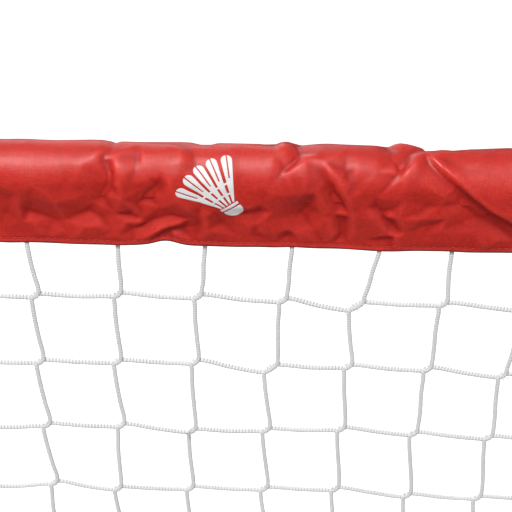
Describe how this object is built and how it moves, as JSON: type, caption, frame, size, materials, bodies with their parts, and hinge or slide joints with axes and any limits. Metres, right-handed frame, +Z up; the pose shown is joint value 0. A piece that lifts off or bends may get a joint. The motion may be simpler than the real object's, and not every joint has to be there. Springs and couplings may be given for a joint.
{
  "type": "portable badminton net",
  "caption": "Free-standing badminton net: telescopic posts with lever clamps, fold-in feet, ground and top rails, red headband sleeve and white knotless netting.",
  "frame": {"origin": "on the ground, at the middle of the net", "axes": "+X along the net, +Z up, -Y the side the clamp levers and the pictured face are on"},
  "size_m": [2.9544, 1.03, 1.5546],
  "materials": {
    "tube_paint": "satin black powder coat on steel tube",
    "moulding": "black glass-filled nylon moulding",
    "steel": "zinc-plated steel",
    "rubber": "black rubber",
    "red_polyester": "red plain-weave polyester",
    "net_cord": "white knitted polyester cord",
    "webbing": "black hook-and-loop webbing"
  },
  "bodies": {
    "base": {"hub_left": "moulding", "lower_post_left": "tube_paint", "post_plug_left": "moulding", "ground_rail_left": "tube_paint", "ground_ferrule_left": "steel", "ground_spring_left": "steel", "pivot_rivet_front_left": "steel", "pivot_rivet_rear_left": "steel", "hub_right": "moulding", "lower_post_right": "tube_paint", "post_plug_right": "moulding", "ground_rail_right": "tube_paint", "ground_ferrule_right": "steel", "ground_spring_right": "steel", "pivot_rivet_front_right": "steel", "pivot_rivet_rear_right": "steel", "ground_rail_middle": "tube_paint"},
    "upper": {"upper_post_left": "tube_paint", "clamp_collar_left": "moulding", "clamp_bolt_left": "steel", "clamp_nut_left": "steel", "corner_elbow_left": "moulding", "side_band_left": "red_polyester", "top_rail_left": "tube_paint", "top_ferrule_left": "steel", "strap_top_left": "webbing", "strap_middle_left": "webbing", "strap_bottom_left": "webbing", "upper_post_right": "tube_paint", "clamp_collar_right": "moulding", "clamp_bolt_right": "steel", "clamp_nut_right": "steel", "corner_elbow_right": "moulding", "side_band_right": "red_polyester", "top_rail_right": "tube_paint", "top_ferrule_right": "steel", "strap_top_right": "webbing", "strap_middle_right": "webbing", "strap_bottom_right": "webbing", "top_rail_middle": "tube_paint", "headband_sleeve": "red_polyester", "netting": "net_cord", "bottom_band": "red_polyester"},
    "clamp_lever_left": {"clamp_lever_left": "moulding"},
    "foot_front_left": {"foot_knuckle_front_left": "moulding", "foot_tube_front_left": "tube_paint", "foot_cap_front_left": "rubber"},
    "foot_rear_left": {"foot_knuckle_rear_left": "moulding", "foot_tube_rear_left": "tube_paint", "foot_cap_rear_left": "rubber"},
    "ground_button_left": {"ground_button_left": "steel"},
    "clamp_lever_right": {"clamp_lever_right": "moulding"},
    "foot_front_right": {"foot_knuckle_front_right": "moulding", "foot_tube_front_right": "tube_paint", "foot_cap_front_right": "rubber"},
    "foot_rear_right": {"foot_knuckle_rear_right": "moulding", "foot_tube_rear_right": "tube_paint", "foot_cap_rear_right": "rubber"},
    "ground_button_right": {"ground_button_right": "steel"}
  },
  "joints": [
    {"name": "height", "type": "slide", "parent": "base", "child": "upper", "axis": [0, 0, 1], "range_m": [-0.64, 0]},
    {"name": "clamp_lever_left", "type": "hinge", "parent": "upper", "child": "clamp_lever_left", "pos_m": [-1.4658, -0.027, 0.734], "axis": [0, 0, 1], "range_deg": [0, 110]},
    {"name": "foot_front_left", "type": "hinge", "parent": "base", "child": "foot_front_left", "pos_m": [-1.45, -0.036, 0.018], "axis": [0, 0, 1], "range_deg": [0, 90]},
    {"name": "foot_rear_left", "type": "hinge", "parent": "base", "child": "foot_rear_left", "pos_m": [-1.45, 0.036, 0.018], "axis": [0, 0, -1], "range_deg": [0, 90]},
    {"name": "ground_button_left", "type": "slide", "parent": "base", "child": "ground_button_left", "axis": [0, 0, -1], "range_m": [0, 0.0035], "stiffness_N_per_m": 800, "springref_m": -0.002, "deforming": ["ground_spring_left"]},
    {"name": "clamp_lever_right", "type": "hinge", "parent": "upper", "child": "clamp_lever_right", "pos_m": [1.4658, -0.027, 0.734], "axis": [0, 0, -1], "range_deg": [0, 110]},
    {"name": "foot_front_right", "type": "hinge", "parent": "base", "child": "foot_front_right", "pos_m": [1.45, -0.036, 0.018], "axis": [0, 0, -1], "range_deg": [0, 90]},
    {"name": "foot_rear_right", "type": "hinge", "parent": "base", "child": "foot_rear_right", "pos_m": [1.45, 0.036, 0.018], "axis": [0, 0, 1], "range_deg": [0, 90]},
    {"name": "ground_button_right", "type": "slide", "parent": "base", "child": "ground_button_right", "axis": [0, 0, -1], "range_m": [0, 0.0035], "stiffness_N_per_m": 800, "springref_m": -0.002, "deforming": ["ground_spring_right"]}
  ]
}
